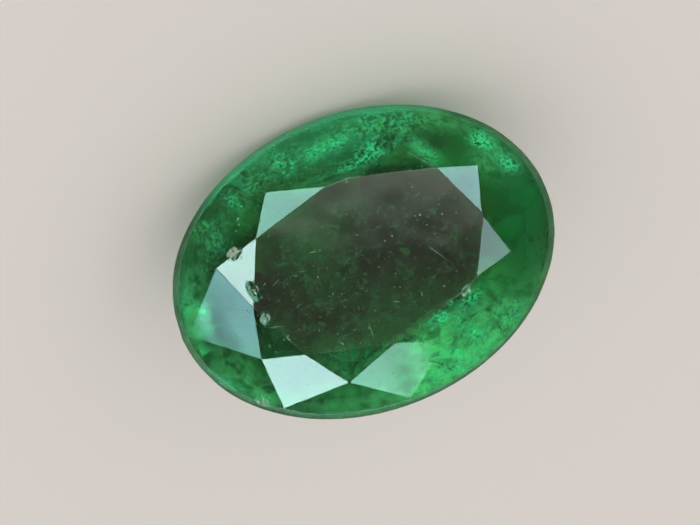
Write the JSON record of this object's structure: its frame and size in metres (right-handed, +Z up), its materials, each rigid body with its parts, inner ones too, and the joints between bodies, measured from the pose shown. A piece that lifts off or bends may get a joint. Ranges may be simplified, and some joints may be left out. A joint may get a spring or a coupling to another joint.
{
  "type": "oval-cut emerald gemstone",
  "caption": "Loose oval-cut emerald with a brilliant crown over a stepped pavilion, lying on a pavilion facet with its table tipped to the front.",
  "frame": {"origin": "on the surface that the stone lies on, below the middle of its box", "axes": "+Z up, +X along the stone's long axis, -Y to the front, where the table faces forwards and up"},
  "size_m": [0.007, 0.004, 0.004],
  "materials": {
    "emerald": "polished facets with an unpolished girdle"
  },
  "bodies": {
    "root": {"emerald": "emerald"}
  },
  "joints": []
}
